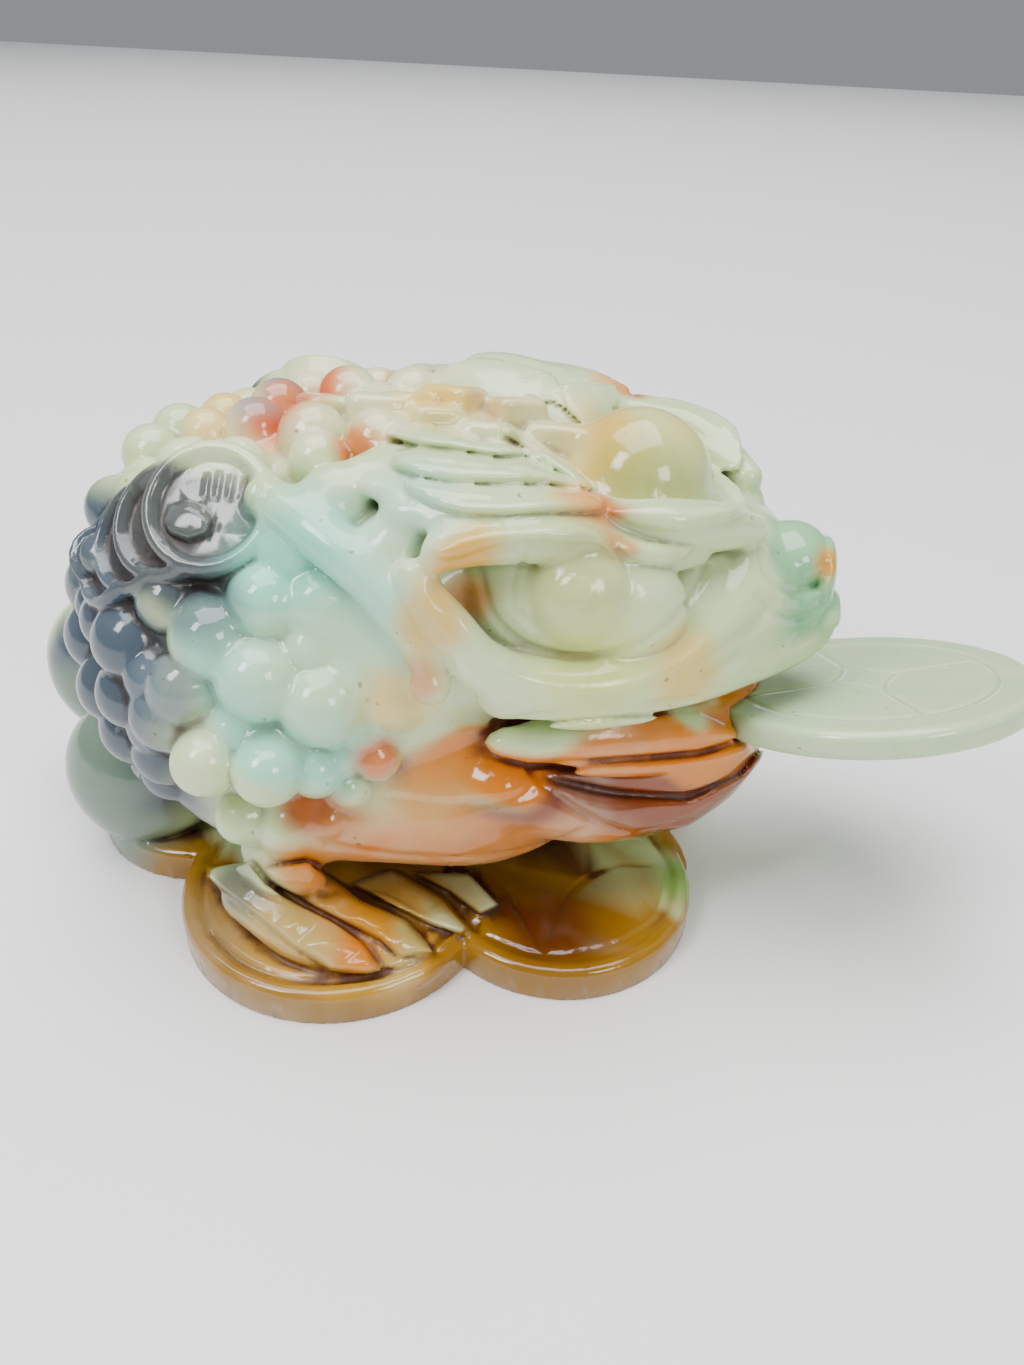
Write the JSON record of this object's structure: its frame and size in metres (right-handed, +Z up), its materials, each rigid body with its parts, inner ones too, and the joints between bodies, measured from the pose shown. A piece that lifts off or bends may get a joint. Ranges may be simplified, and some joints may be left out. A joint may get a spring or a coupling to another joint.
{
  "type": "money toad figurine",
  "caption": "Carved stone toad sitting on a bed of coins, with a loose coin leaning in its mouth; stands on its flat underside as a shelf or desk ornament.",
  "frame": {"origin": "middle of the flat underside of the coin bed that the toad sits on", "axes": "+Z up, the toad faces -Y, its left side is +X"},
  "size_m": [0.1006, 0.1668, 0.082],
  "materials": {
    "toad": null,
    "mouth_coin": null
  },
  "bodies": {
    "root": {"toad": "toad", "mouth_coin": "mouth_coin"}
  },
  "joints": []
}
